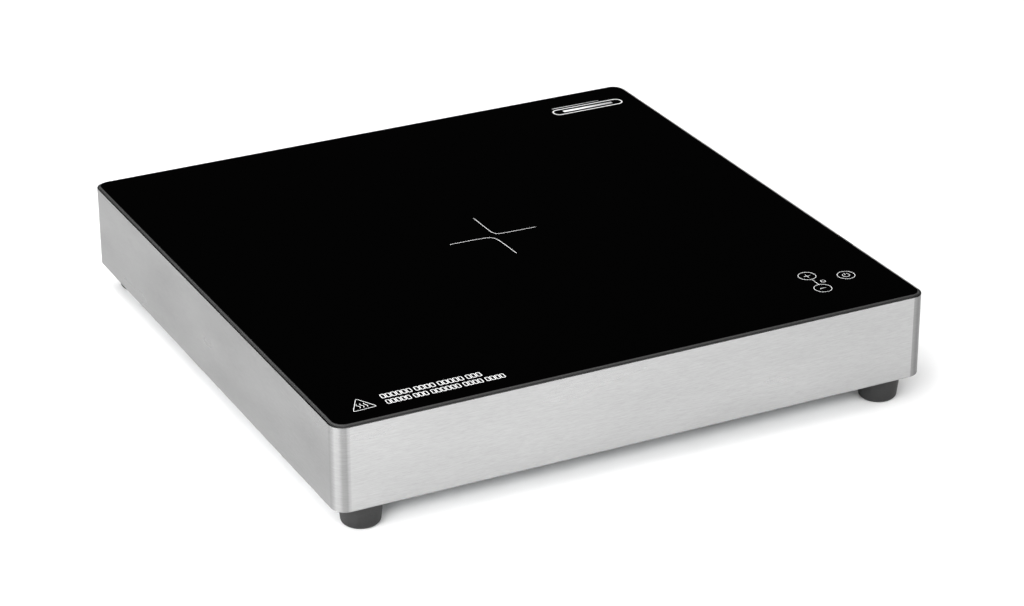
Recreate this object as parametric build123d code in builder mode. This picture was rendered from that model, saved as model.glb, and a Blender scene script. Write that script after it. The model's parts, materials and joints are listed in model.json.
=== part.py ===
from build123d import *
import math
import os

# Square portable induction plate: folded steel casing, bonded glass top, coil, electronics, fan.
# Millimetres, +Z up. Origin on the standing surface, under the middle of the glass top.
# The touch controls are at the front right corner, and the cord leaves at the back (+Y).

# ---- driving dimensions ------------------------------------------------------------------

# casing
casing_width = 380.0
casing_depth = 380.0
casing_height = 52.5
casing_corner = 9.0
sheet = 1.0
fold_radius = 1.2
rim_round = 0.35
flange_width = 10.0
foot_height = 16.0

# glass top and its bonded joint
glass_thickness = 4.0
glass_proud = 1.1
glass_edge_round = 1.0
glass_edge_chamfer = 0.4
joint_gap = 0.6
seal_thickness = 0.6
seal_width = 8.0
seal_below_rim = 0.4

# bottom plate
plate_thickness = 1.0
plate_inset = 2.5
plate_screw_inset = 8.0
wafer_head_radius = 3.6
wafer_head_height = 0.9
plate_screw_spread = 100.0
plate_screw_length = 6.0
intake_slot_length = 14.0
intake_slot_width = 3.2
intake_pitch_x = 18.0
intake_pitch_y = 7.0
intake_margin = 1.0

# feet
foot_top_radius = 12.9
foot_floor_radius = 11.2
foot_edge_round = 3.0
foot_inset_x = 21.0
foot_inset_y = 16.0
foot_screw_radius = 2.5
foot_recess_radius = 6.0
foot_recess_depth = 6.0
washer_thickness = 1.0
washer_clearance = 0.3
foot_screw_stand = 5.0

# rear vents and cord entry
vent_slot_height = 24.0
vent_slot_width = 3.6
vent_pitch = 8.0
vent_count = 13
vent_group_places = (-90.0, 30.0)
vent_from_rim = 26.0
cord_from_right = 50.0
cord_height = 34.0
cord_bore_radius = 4.2
bushing_radius = 8.0
bushing_flange_radius = 10.5
bushing_flange = 4.5
bushing_edge_round = 1.2
bushing_depth = 13.2
bushing_nut_thickness = 4.0
bushing_nut_across = 21.0

# screws and spacers
m3_radius = 1.5
m4_radius = 2.0
m5_radius = 2.5
m3_head_radius = 2.75
m3_head_height = 2.0
m4_head_radius = 4.0
m4_head_height = 2.4
m5_head_radius = 4.6
m5_head_height = 2.8
m5_nut_across = 8.0
m5_nut_height = 4.0
hole_clearance = 0.15
standoff_height = 6.0
standoff_across = 5.5
board_thickness = 1.6
board_screw_inset = 5.0
blind_hole_floor = 0.5
screw_end_gap = 0.5

# induction coil stack, counted down from the glass
mica_thickness = 0.5
wire_diameter = 4.5
wire_pitch = 4.3
inner_coil_start = 24.25
inner_coil_turns = 7
outer_coil_start = 62.0
outer_coil_turns = 9
former_margin = 5.35
former_thickness = 2.5
ferrite_thickness = 4.0
ferrite_width = 14.0
ferrite_length = 62.0
ferrite_start = 30.0
ferrite_count = 8
pocket_rib = 1.2
spring_height = 7.0
spring_strip = 0.6
spring_width = 8.0
spring_length = 40.0
spring_centre = 65.0
carrier_thickness = 1.5
carrier_margin = 4.35
carrier_hole_radius = 16.0
carrier_corner = 10.0
carrier_screw_length = 9.0
pillar_thread_depth = 10.0
pillar_across = 7.0
pillar_inset = 8.0
lead_radius = 2.0
lead_clearance = 1.0
sensor_holder_radius = 9.0
sensor_flange_radius = 12.0
sensor_flange = 2.0
sensor_radius = 4.0
sensor_thickness = 2.0

# power board and heat sink
power_board_left = -72.0
power_board_right = 82.0
power_board_depth = 160.0
device_height = 5.0
heatsink_length = 120.0
heatsink_width = 60.0
heatsink_base = 4.0
heatsink_fin = 1.5
heatsink_fins = 10
heatsink_screw_inset = 8.0
heatsink_clearance = 2.6
capacitor_clearance = 3.6
resonant_clearance = 5.6
duct_clearance = 1.7
terminal_size = 10.0
terminal_height = 8.0

# filter board and mains terminals, counted from the back right corner of the casing
filter_board_width = 130.0
filter_board_depth = 54.0
filter_from_right = 80.0
filter_from_back = 18.0
block_from_back = 41.0
earth_from_right = 25.0
earth_from_back = 80.0
earth_stud_length = 14.0
terminal_block_width = 24.0
terminal_block_depth = 18.0
terminal_block_height = 18.0
terminal_hole_radius = 2.2
terminal_hole_depth = 8.0
wire_radius = 1.5
wire_spacing = 5.0
fan_wire_radius = 0.8
wire_overlap = 8.0

# touch controls, counted from the front right corner of the glass
plus_from_right = 50.5
plus_from_front = 52.5
minus_from_right = 51.0
minus_from_front = 33.7
power_from_right = 29.1
power_from_front = 43.1
light_from_right = 45.8
light_from_front = 42.1
tray_width = 52.0
tray_depth = 46.0
tray_thickness = 2.0
tray_from_right = 16.5
tray_from_front = 18.0
tray_leg_radius = 4.0
tray_leg_spread_x = 32.0
tray_leg_spread_y = 18.0
tray_boss_radius = 2.5
tray_boss_height = 4.0
tray_pin_radius = 1.2
tray_pin_stand = 0.8
tray_screw_length = 14.0
touch_pad_radius = 6.0
touch_pad_wall = 2.0
pad_to_glass = 8.6
light_radius = 1.5
light_below_glass = 2.0
buzzer_radius = 4.5
buzzer_height = 5.0
ribbon_width = 12.0
ribbon_thickness = 1.0
ribbon_bend = 8.0

# fan
fan_size = 92.0
fan_height = 25.0
fan_corner = 4.0
fan_margin = 3.2
fan_rim = 2.0
fan_screw_inset = 4.75
fan_from_middle = -10.0
fan_tip_gap = 1.5
fan_hub_radius = 19.0
fan_hub_wall = 2.0
fan_blades = 7
blade_chord = 20.0
blade_thickness = 1.4
blade_pitch = 40.0
fan_shaft_radius = 1.5
fan_running_clearance = 0.04
fan_bearing_radius = 3.0
fan_tube_radius = 5.0
fan_stator_radius = 13.5
fan_magnet_wall = 2.0
fan_base_radius = 17.0
fan_base_thickness = 2.5
fan_strut_width = 4.0
fan_screw_length = 16.0
fan_hub_above_floor = 5.0
fan_hub_below_top = 3.0
fan_bearing_length = 12.0
fan_bearing_seat = 3.0
fan_part_gap = 0.5
duct_wall = 1.5
duct_overhang = 14.0

# ---- levels and places worked out from them ----------------------------------------------

casing_bottom = foot_height
rim_z = casing_bottom + casing_height
glass_bottom = rim_z + glass_proud - glass_thickness
ledge_top = glass_bottom - seal_thickness
plate_bottom = casing_bottom - plate_thickness
half_width = casing_width / 2
half_depth = casing_depth / 2
inner_width = casing_width - 2 * sheet
inner_depth = casing_depth - 2 * sheet
inner_corner = casing_corner - sheet
opening_width = inner_width - 2 * flange_width
opening_depth = inner_depth - 2 * flange_width

coil_radius = outer_coil_start + (outer_coil_turns - 1) * wire_pitch + wire_diameter / 2
coil_top = glass_bottom - mica_thickness
coil_bottom = coil_top - wire_diameter
former_bottom = coil_bottom - former_thickness
former_radius = coil_radius + former_margin
carrier_top = former_bottom - spring_height
carrier_bottom = carrier_top - carrier_thickness
carrier_half = coil_radius + carrier_margin
pillar_place = carrier_half - pillar_inset

board_bottom = casing_bottom + standoff_height
board_top = board_bottom + board_thickness
power_board_width = power_board_right - power_board_left
power_board_x = (power_board_left + power_board_right) / 2
heatsink_bottom = board_top + device_height
heatsink_height = carrier_bottom - heatsink_clearance - heatsink_bottom
inner_lead_place = (inner_coil_start + (inner_coil_turns - 1) * wire_pitch) / math.sqrt(2)
outer_lead_place = (outer_coil_start + (outer_coil_turns - 1) * wire_pitch) / math.sqrt(2)

filter_x = half_width - filter_from_right - filter_board_width / 2
filter_y = half_depth - filter_from_back - filter_board_depth / 2
filter_right = filter_x + filter_board_width / 2
cord_x = half_width - cord_from_right
vent_centre_z = rim_z - vent_from_rim
block_y = half_depth - block_from_back
earth_place = (half_width - earth_from_right, half_depth - earth_from_back)

tray_x = half_width - tray_from_right - tray_width / 2
tray_y = -half_depth + tray_from_front + tray_depth / 2
control_board_top = glass_bottom - pad_to_glass
control_board_bottom = control_board_top - board_thickness
tray_top = control_board_bottom - tray_boss_height
tray_bottom = tray_top - tray_thickness
touch_places = [
    (half_width - plus_from_right, -half_depth + plus_from_front),
    (half_width - minus_from_right, -half_depth + minus_from_front),
    (half_width - power_from_right, -half_depth + power_from_front),
]
light_place = (half_width - light_from_right, -half_depth + light_from_front)

fan_x = -(opening_width / 2 - fan_size / 2 - fan_margin)
fan_y = fan_from_middle
fan_top = casing_bottom + fan_height
fan_throat_radius = fan_size / 2 - fan_rim
fan_screw_spacing = fan_size - 2 * fan_screw_inset
intake_reach = fan_throat_radius + intake_margin
duct_height = carrier_bottom - duct_clearance - fan_top

os.makedirs("parts", exist_ok=True)


def save(piece, label):
    """Name a finished piece and write it as its own STEP file."""
    piece.part.label = label
    export_step(piece.part, f"parts/{label}.step")


def corner_places(centre_x, centre_y, spread_x, spread_y):
    """Four points on a rectangle's corners about a centre."""
    return [
        (centre_x + side_x * spread_x / 2, centre_y + side_y * spread_y / 2)
        for side_x in (-1, 1)
        for side_y in (-1, 1)
    ]


def screws(places, seat_z, shank_radius, length, head_radius, head_height, upward):
    """A set of pan-head screws; each head sits on seat_z and its shank points up or down."""
    way = 1 if upward else -1
    with BuildPart() as fasteners:
        with BuildSketch(Plane.XY.offset(seat_z)):
            with Locations(*places):
                Circle(shank_radius)
        extrude(amount=way * length)
        with BuildSketch(Plane.XY.offset(seat_z)):
            with Locations(*places):
                Circle(head_radius)
        extrude(amount=-way * head_height)
        outer_z = seat_z - way * head_height
        head_rims = fasteners.edges().filter_by(GeomType.CIRCLE).filter_by_position(
            Axis.Z, outer_z - 0.01, outer_z + 0.01
        )
        fillet(head_rims, head_height / 3)
        with BuildSketch(Plane.XY.offset(outer_z)):
            with Locations(*places):
                Rectangle(head_radius * 1.1, head_radius * 0.25)
                Rectangle(head_radius * 0.25, head_radius * 1.1)
        extrude(amount=way * head_height / 2, mode=Mode.SUBTRACT)
    return fasteners


foot_places = corner_places(0, 0, casing_width - 2 * foot_inset_x, casing_depth - 2 * foot_inset_y)
plate_screw_places = corner_places(
    0, 0, casing_width - 2 * plate_screw_inset, 2 * plate_screw_spread
) + corner_places(0, 0, 2 * plate_screw_spread, casing_depth - 2 * plate_screw_inset)
pillar_places = corner_places(0, 0, 2 * pillar_place, 2 * pillar_place)
power_screw_places = corner_places(
    power_board_x,
    0,
    power_board_width - 2 * board_screw_inset,
    power_board_depth - 2 * board_screw_inset,
)
filter_screw_places = corner_places(
    filter_x,
    filter_y,
    filter_board_width - 2 * board_screw_inset,
    filter_board_depth - 2 * board_screw_inset,
)
standoff_places = power_screw_places + filter_screw_places
tray_leg_places = corner_places(tray_x, tray_y, tray_leg_spread_x, tray_leg_spread_y)
fan_screw_places = corner_places(fan_x, fan_y, fan_screw_spacing, fan_screw_spacing)
heatsink_screw_places = corner_places(
    0,
    0,
    heatsink_length - 2 * heatsink_screw_inset,
    heatsink_width - 2 * heatsink_screw_inset,
)
coil_lead_places = [
    (inner_lead_place, -inner_lead_place),
    (outer_lead_place, -outer_lead_place),
]

# ---- casing ------------------------------------------------------------------------------

# Folded stainless casing: four walls, a flange folded in at the bottom, a stepped ledge for the glass.
with BuildPart() as housing:
    with BuildSketch(Plane.XY.offset(casing_bottom)):
        RectangleRounded(casing_width, casing_depth, casing_corner)
    extrude(amount=casing_height)
    fillet(housing.faces().sort_by(Axis.Z)[0].edges(), fold_radius)
    fillet(housing.faces().sort_by(Axis.Z)[-1].edges(), rim_round)
    with BuildSketch(Plane.XY.offset(casing_bottom + sheet)):
        RectangleRounded(inner_width, inner_depth, inner_corner)
    extrude(amount=ledge_top - casing_bottom - 2 * sheet, mode=Mode.SUBTRACT)
    with BuildSketch(Plane.XY.offset(ledge_top)):
        RectangleRounded(inner_width, inner_depth, inner_corner)
    extrude(amount=rim_z - ledge_top, mode=Mode.SUBTRACT)
    with BuildSketch(Plane.XY.offset(casing_bottom)):
        RectangleRounded(opening_width, opening_depth, inner_corner)
    extrude(amount=casing_height, mode=Mode.SUBTRACT)
    with BuildSketch(Plane.XY.offset(casing_bottom)):
        with Locations(*plate_screw_places):
            Circle(m4_radius)
    extrude(amount=sheet, mode=Mode.SUBTRACT)
    with BuildSketch(Plane.XZ.offset(-half_depth)):
        for group_x in vent_group_places:
            with Locations((group_x, vent_centre_z)):
                with GridLocations(vent_pitch, vent_pitch, vent_count, 1):
                    SlotOverall(vent_slot_height, vent_slot_width, rotation=90)
        with Locations((cord_x, cord_height)):
            Circle(bushing_radius)
    extrude(amount=sheet, mode=Mode.SUBTRACT)
save(housing, "housing")

# Bottom plate, screwed under the flange; it carries everything inside.
intake_points = [
    (fan_x + column * intake_pitch_x, fan_y + row * intake_pitch_y)
    for column in range(-2, 3)
    for row in range(-6, 7)
    if math.hypot(abs(column * intake_pitch_x) + intake_slot_length / 2, row * intake_pitch_y)
    < intake_reach
]
with BuildPart() as base_plate:
    with BuildSketch(Plane.XY.offset(plate_bottom)):
        RectangleRounded(casing_width - 2 * plate_inset, casing_depth - 2 * plate_inset, inner_corner)
        with Locations(*plate_screw_places):
            Circle(m4_radius + hole_clearance, mode=Mode.SUBTRACT)
        with Locations(*foot_places):
            Circle(m5_radius + hole_clearance, mode=Mode.SUBTRACT)
        with Locations(*pillar_places):
            Circle(m5_radius, mode=Mode.SUBTRACT)
        with Locations(*standoff_places):
            Circle(m4_radius, mode=Mode.SUBTRACT)
        with Locations(*tray_leg_places):
            Circle(m3_radius + hole_clearance, mode=Mode.SUBTRACT)
        with Locations(*fan_screw_places):
            Circle(m4_radius + hole_clearance, mode=Mode.SUBTRACT)
        with Locations(earth_place):
            Circle(m5_radius, mode=Mode.SUBTRACT)
        with Locations(*intake_points):
            SlotOverall(intake_slot_length, intake_slot_width, mode=Mode.SUBTRACT)
    extrude(amount=plate_thickness)
save(base_plate, "base_plate")

base_screws = screws(
    plate_screw_places,
    plate_bottom,
    m4_radius,
    plate_screw_length,
    wafer_head_radius,
    wafer_head_height,
    True,
)
save(base_screws, "base_screws")

# Black glass-ceramic top with a ground round edge.
with BuildPart() as glass_top:
    with BuildSketch(Plane.XY.offset(glass_bottom)):
        RectangleRounded(
            inner_width - 2 * joint_gap, inner_depth - 2 * joint_gap, inner_corner - joint_gap
        )
    extrude(amount=glass_thickness)
    fillet(glass_top.faces().sort_by(Axis.Z)[-1].edges(), glass_edge_round)
    chamfer(glass_top.faces().sort_by(Axis.Z)[0].edges(), glass_edge_chamfer)
save(glass_top, "glass_top")

# Silicone joint: a flat bead on the ledge and a thin upstand between the glass edge and the wall.
with BuildPart() as glass_seal:
    with BuildSketch(Plane.XY.offset(ledge_top)):
        RectangleRounded(inner_width, inner_depth, inner_corner)
        RectangleRounded(
            inner_width - 2 * seal_width,
            inner_depth - 2 * seal_width,
            inner_corner,
            mode=Mode.SUBTRACT,
        )
    extrude(amount=seal_thickness)
    with BuildSketch(Plane.XY.offset(glass_bottom)):
        RectangleRounded(inner_width, inner_depth, inner_corner)
        RectangleRounded(
            inner_width - 2 * joint_gap,
            inner_depth - 2 * joint_gap,
            inner_corner - joint_gap,
            mode=Mode.SUBTRACT,
        )
    extrude(amount=rim_z - seal_below_rim - glass_bottom)
save(glass_seal, "glass_seal")

# ---- feet --------------------------------------------------------------------------------

# Tapered rubber foot, drawn once in section for each corner, with a recess for its screw head.
foot_names = {
    (-1, -1): "foot_front_left",
    (1, -1): "foot_front_right",
    (-1, 1): "foot_rear_left",
    (1, 1): "foot_rear_right",
}
for (side_x, side_y), foot_name in foot_names.items():
    foot_x = side_x * (half_width - foot_inset_x)
    foot_y = side_y * (half_depth - foot_inset_y)
    with BuildPart() as foot:
        with BuildSketch(Plane((foot_x, foot_y, 0), x_dir=(1, 0, 0), z_dir=(0, -1, 0))) as section:
            with BuildLine():
                Polyline(
                    (foot_recess_radius, 0),
                    (foot_floor_radius, 0),
                    (foot_top_radius, plate_bottom),
                    (m5_radius, plate_bottom),
                    (m5_radius, foot_recess_depth),
                    (foot_recess_radius, foot_recess_depth),
                    (foot_recess_radius, 0),
                )
            make_face()
            floor_corner = section.vertices().sort_by_distance((foot_floor_radius, 0, 0))[0]
            fillet(floor_corner, foot_edge_round)
        revolve(axis=Axis((foot_x, foot_y, 0), (0, 0, 1)))
    save(foot, foot_name)

with BuildPart() as foot_washers:
    with BuildSketch(Plane.XY.offset(foot_recess_depth - washer_thickness)):
        with Locations(*foot_places):
            Circle(foot_recess_radius - washer_clearance)
            Circle(m5_radius, mode=Mode.SUBTRACT)
    extrude(amount=washer_thickness)
save(foot_washers, "foot_washers")

foot_seat_z = foot_recess_depth - washer_thickness
foot_screws = screws(
    foot_places,
    foot_seat_z,
    m5_radius,
    casing_bottom + foot_screw_stand - foot_seat_z,
    m5_head_radius,
    m5_head_height,
    True,
)
save(foot_screws, "foot_screws")

# Five M5 nuts on the bottom plate: four hold the feet and one is on the earth stud.
with BuildPart() as plate_nuts:
    with BuildSketch(Plane.XY.offset(casing_bottom)):
        with Locations(*foot_places, earth_place):
            RegularPolygon(m5_nut_across / 2, 6, major_radius=False)
            Circle(m5_radius, mode=Mode.SUBTRACT)
    extrude(amount=m5_nut_height)
save(plate_nuts, "plate_nuts")

# ---- cord entry and mains terminals ------------------------------------------------------

# Cord bushing: round flange outside the rear wall, threaded body inside, through bore.
cord_plane = Plane.XZ.offset(-half_depth)
with BuildPart() as cord_bushing:
    with BuildSketch(cord_plane):
        with Locations((cord_x, cord_height)):
            Circle(bushing_flange_radius)
    extrude(amount=-bushing_flange)
    fillet(cord_bushing.faces().sort_by(Axis.Y)[-1].edges(), bushing_edge_round)
    with BuildSketch(cord_plane):
        with Locations((cord_x, cord_height)):
            Circle(bushing_radius)
    extrude(amount=sheet + bushing_depth)
    with BuildSketch(cord_plane.offset(-bushing_flange)):
        with Locations((cord_x, cord_height)):
            Circle(cord_bore_radius)
    extrude(amount=bushing_flange + sheet + bushing_depth, mode=Mode.SUBTRACT)
save(cord_bushing, "cord_bushing")

with BuildPart() as bushing_nut:
    with BuildSketch(cord_plane.offset(sheet)):
        with Locations((cord_x, cord_height)):
            RegularPolygon(bushing_nut_across / 2, 6, major_radius=False)
            Circle(bushing_radius, mode=Mode.SUBTRACT)
    extrude(amount=bushing_nut_thickness)
save(bushing_nut, "bushing_nut")

# Three-way terminal block on the bottom plate, in line with the cord.
with BuildPart() as terminal_block:
    with BuildSketch(Plane.XY.offset(casing_bottom)):
        with Locations((cord_x, block_y)):
            Rectangle(terminal_block_width, terminal_block_depth)
    extrude(amount=terminal_block_height)
    chamfer(terminal_block.faces().sort_by(Axis.Z)[-1].edges(), 1.0)
    with BuildSketch(Plane.XY.offset(casing_bottom + terminal_block_height)):
        with Locations((cord_x, block_y)):
            with GridLocations(terminal_block_width / 3, terminal_block_depth / 2, 3, 2):
                Circle(terminal_hole_radius)
    extrude(amount=-terminal_hole_depth, mode=Mode.SUBTRACT)
save(terminal_block, "terminal_block")

with BuildPart() as earth_stud:
    with BuildSketch(Plane.XY.offset(plate_bottom)):
        with Locations(earth_place):
            Circle(m5_radius)
    extrude(amount=earth_stud_length)
    chamfer(earth_stud.faces().sort_by(Axis.Z)[-1].edges(), 0.6)
save(earth_stud, "earth_stud")

# ---- circuit boards and what stands on them ----------------------------------------------

with BuildPart() as board_standoffs:
    with BuildSketch(Plane.XY.offset(casing_bottom)):
        with Locations(*standoff_places):
            RegularPolygon(standoff_across / 2, 6, major_radius=False)
    extrude(amount=standoff_height)
    with BuildSketch(Plane.XY.offset(plate_bottom)):
        with Locations(*standoff_places):
            Circle(m4_radius)
    extrude(amount=plate_thickness)
    with BuildSketch(Plane.XY.offset(board_bottom)):
        with Locations(*standoff_places):
            Circle(m3_radius)
    extrude(amount=-standoff_height + blind_hole_floor, mode=Mode.SUBTRACT)
save(board_standoffs, "board_standoffs")

board_screws = screws(
    standoff_places,
    board_top,
    m3_radius,
    board_thickness + standoff_height - blind_hole_floor - screw_end_gap,
    m3_head_radius,
    m3_head_height,
    False,
)
save(board_screws, "board_screws")

with BuildPart() as power_board:
    with BuildSketch(Plane.XY.offset(board_bottom)):
        with Locations((power_board_x, 0)):
            RectangleRounded(power_board_width, power_board_depth, 2.0)
        with Locations(*(power_screw_places + heatsink_screw_places)):
            Circle(m3_radius, mode=Mode.SUBTRACT)
    extrude(amount=board_thickness)
save(power_board, "power_board")

with BuildPart() as filter_board:
    with BuildSketch(Plane.XY.offset(board_bottom)):
        with Locations((filter_x, filter_y)):
            RectangleRounded(filter_board_width, filter_board_depth, 2.0)
        with Locations(*filter_screw_places):
            Circle(m3_radius, mode=Mode.SUBTRACT)
    extrude(amount=board_thickness)
save(filter_board, "filter_board")

# Two flat power transistors and a bridge rectifier, clamped under the heat sink.
with BuildPart() as power_transistors:
    with BuildSketch(Plane.XY.offset(board_top)):
        with Locations((-25.0, -14.0), (-25.0, 14.0)):
            Rectangle(21.0, 16.0)
    extrude(amount=device_height)
save(power_transistors, "power_transistors")

with BuildPart() as bridge_rectifier:
    with BuildSketch(Plane.XY.offset(board_top)):
        with Locations((22.0, 0)):
            Rectangle(20.0, 26.0)
    extrude(amount=device_height)
save(bridge_rectifier, "bridge_rectifier")

fin_pitch = (heatsink_width - heatsink_fin) / (heatsink_fins - 1)
with BuildPart() as heatsink:
    with BuildSketch(Plane.XY.offset(heatsink_bottom)):
        Rectangle(heatsink_length, heatsink_width)
        with Locations(*heatsink_screw_places):
            Circle(m3_radius, mode=Mode.SUBTRACT)
    extrude(amount=heatsink_base)
    with BuildSketch(Plane.XY.offset(heatsink_bottom + heatsink_base)):
        with GridLocations(1.0, fin_pitch, 1, heatsink_fins):
            Rectangle(heatsink_length, heatsink_fin)
    extrude(amount=heatsink_height - heatsink_base)
save(heatsink, "heatsink")

heatsink_screws = screws(
    heatsink_screw_places,
    board_bottom,
    m3_radius,
    board_thickness + device_height + heatsink_base - screw_end_gap,
    m3_head_radius,
    m3_head_height,
    True,
)
save(heatsink_screws, "heatsink_screws")


def boxed_part(places, length, width, height, edge_round):
    """Moulded box-shaped components of one size standing on a circuit board."""
    with BuildPart() as boxes:
        with BuildSketch(Plane.XY.offset(board_top)):
            with Locations(*places):
                Rectangle(length, width)
        extrude(amount=height)
        top_faces = boxes.faces().group_by(Axis.Z)[-1]
        fillet(top_faces.edges(), edge_round)
    return boxes


capacitor_height = carrier_bottom - capacitor_clearance - board_top
dc_capacitor = boxed_part([(22.0, 56.0)], 38.0, 20.0, capacitor_height, 1.0)
save(dc_capacitor, "dc_capacitor")

resonant_height = carrier_bottom - resonant_clearance - board_top
resonant_capacitors = boxed_part([(-36.0, 46.0), (-36.0, 66.0)], 32.0, 16.0, resonant_height, 1.0)
save(resonant_capacitors, "resonant_capacitors")

supply_transformer = boxed_part([(-46.0, -54.0)], 22.0, 20.0, 18.0, 0.8)
save(supply_transformer, "supply_transformer")

x_capacitor = boxed_part([(filter_x - 34.0, filter_y)], 26.0, 12.0, 20.0, 1.0)
save(x_capacitor, "x_capacitor")

# Ring chokes: the smoothing choke on the power board and the mains choke on the filter board.
choke_sizes = {
    "smoothing_choke": (60.0, 55.0, 15.0, 6.5, 14.0),
    "mains_choke": (filter_x + 10.0, filter_y, 16.0, 7.0, 16.0),
}
for choke_name, (choke_x, choke_y, outer_radius, hole_radius, choke_height) in choke_sizes.items():
    with BuildPart() as choke:
        with BuildSketch(Plane.XY.offset(board_top)):
            with Locations((choke_x, choke_y)):
                Circle(outer_radius)
                Circle(hole_radius, mode=Mode.SUBTRACT)
        extrude(amount=choke_height)
        fillet(choke.edges().filter_by(GeomType.CIRCLE), 3.0)
    save(choke, choke_name)

# Cartridge fuse lying in its two clips.
with BuildPart() as fuse:
    with BuildSketch(Plane.YZ.offset(filter_x + 36.0)):
        with Locations((filter_y + 14.0, board_top + 5.0)):
            Circle(2.6)
    extrude(amount=20.0)
    with BuildSketch(Plane.XY.offset(board_top)):
        with Locations((filter_x + 39.0, filter_y + 14.0), (filter_x + 53.0, filter_y + 14.0)):
            Rectangle(4.0, 8.0)
    extrude(amount=5.0)
save(fuse, "fuse")

with BuildPart() as coil_terminals:
    with BuildSketch(Plane.XY.offset(board_top)):
        with Locations(*coil_lead_places):
            RectangleRounded(terminal_size, terminal_size, 1.0)
    extrude(amount=terminal_height)
save(coil_terminals, "coil_terminals")

# ---- induction coil stack ----------------------------------------------------------------

with BuildPart() as coil_pillars:
    with BuildSketch(Plane.XY.offset(casing_bottom)):
        with Locations(*pillar_places):
            RegularPolygon(pillar_across / 2, 6, major_radius=False)
    extrude(amount=carrier_bottom - casing_bottom)
    with BuildSketch(Plane.XY.offset(plate_bottom)):
        with Locations(*pillar_places):
            Circle(m5_radius)
    extrude(amount=plate_thickness)
    with BuildSketch(Plane.XY.offset(carrier_bottom)):
        with Locations(*pillar_places):
            Circle(m4_radius)
    extrude(amount=-pillar_thread_depth, mode=Mode.SUBTRACT)
save(coil_pillars, "coil_pillars")

# Aluminium carrier and shield plate under the coil.
with BuildPart() as coil_carrier:
    with BuildSketch(Plane.XY.offset(carrier_bottom)):
        RectangleRounded(2 * carrier_half, 2 * carrier_half, carrier_corner)
        Circle(carrier_hole_radius, mode=Mode.SUBTRACT)
        with Locations(*pillar_places):
            Circle(m4_radius, mode=Mode.SUBTRACT)
        with Locations(*coil_lead_places):
            Circle(lead_radius + 2 * lead_clearance, mode=Mode.SUBTRACT)
    extrude(amount=carrier_thickness)
save(coil_carrier, "coil_carrier")

carrier_screws = screws(
    pillar_places,
    carrier_top,
    m4_radius,
    carrier_screw_length,
    m4_head_radius,
    m4_head_height,
    False,
)
save(carrier_screws, "carrier_screws")

# Bow springs that press the coil up against the glass.
bow_rise = spring_height - spring_strip
with BuildPart() as coil_springs:
    for quarter in range(4):
        spring_plane = Plane(
            origin=(0, 0, carrier_top),
            x_dir=(math.cos(quarter * math.pi / 2), math.sin(quarter * math.pi / 2), 0),
            z_dir=(math.sin(quarter * math.pi / 2), -math.cos(quarter * math.pi / 2), 0),
        )
        near_end = spring_centre - spring_length / 2
        far_end = spring_centre + spring_length / 2
        with BuildSketch(spring_plane):
            with BuildLine():
                ThreePointArc((near_end, 0), (spring_centre, bow_rise), (far_end, 0))
                Line((far_end, 0), (far_end, spring_strip))
                ThreePointArc(
                    (far_end, spring_strip), (spring_centre, spring_height), (near_end, spring_strip)
                )
                Line((near_end, spring_strip), (near_end, 0))
            make_face()
        extrude(amount=spring_width / 2, both=True)
save(coil_springs, "coil_springs")

# Heat-resistant coil former: a disc with rib pockets under it for the ferrite bars.
rib_offset = (ferrite_width + pocket_rib) / 2
ferrite_angle = 360.0 / ferrite_count
with BuildPart() as coil_former:
    with BuildSketch(Plane.XY.offset(former_bottom)):
        Circle(former_radius)
        Circle(sensor_holder_radius, mode=Mode.SUBTRACT)
        with Locations(*coil_lead_places):
            Circle(lead_radius + lead_clearance, mode=Mode.SUBTRACT)
    extrude(amount=former_thickness)
    with BuildSketch(Plane.XY.offset(former_bottom)):
        with PolarLocations(0, ferrite_count, start_angle=ferrite_angle / 2):
            with Locations(
                (ferrite_start + ferrite_length / 2, rib_offset),
                (ferrite_start + ferrite_length / 2, -rib_offset),
            ):
                Rectangle(ferrite_length, pocket_rib)
    extrude(amount=-ferrite_thickness * 0.75)
save(coil_former, "coil_former")

with BuildPart() as ferrite_bars:
    with BuildSketch(Plane.XY.offset(former_bottom)):
        with PolarLocations(0, ferrite_count, start_angle=ferrite_angle / 2):
            with Locations((ferrite_start + ferrite_length / 2, 0)):
                Rectangle(ferrite_length, ferrite_width)
    extrude(amount=-ferrite_thickness)
save(ferrite_bars, "ferrite_bars")

# The flat winding, as its neighbouring turns of stranded wire: an inner and an outer group.
coil_groups = {
    "inner_coil": (inner_coil_start, inner_coil_turns),
    "outer_coil": (outer_coil_start, outer_coil_turns),
}
for coil_name, (first_turn, turns) in coil_groups.items():
    with BuildPart() as coil:
        with BuildSketch(Plane.XZ):
            for turn in range(turns):
                with Locations((first_turn + turn * wire_pitch, coil_bottom + wire_diameter / 2)):
                    Circle(wire_diameter / 2)
        revolve(axis=Axis.Z)
    save(coil, coil_name)

with BuildPart() as coil_leads:
    with BuildSketch(Plane.XY.offset(board_top + terminal_height)):
        with Locations(*coil_lead_places):
            Circle(lead_radius)
    extrude(amount=coil_bottom - board_top - terminal_height)
save(coil_leads, "coil_leads")

with BuildPart() as mica_sheet:
    with BuildSketch(Plane.XY.offset(coil_top)):
        Circle(former_radius)
        Circle(sensor_holder_radius, mode=Mode.SUBTRACT)
    extrude(amount=mica_thickness)
save(mica_sheet, "mica_sheet")

# Silicone plug in the middle of the coil, holding the glass temperature sensor.
with BuildPart() as sensor_holder:
    with BuildSketch(Plane.XY.offset(former_bottom)):
        Circle(sensor_holder_radius)
    extrude(amount=glass_bottom - former_bottom)
    with BuildSketch(Plane.XY.offset(former_bottom)):
        Circle(sensor_flange_radius)
    extrude(amount=-sensor_flange)
    with BuildSketch(Plane.XY.offset(glass_bottom)):
        Circle(sensor_radius)
    extrude(amount=-sensor_thickness, mode=Mode.SUBTRACT)
save(sensor_holder, "sensor_holder")

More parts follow.
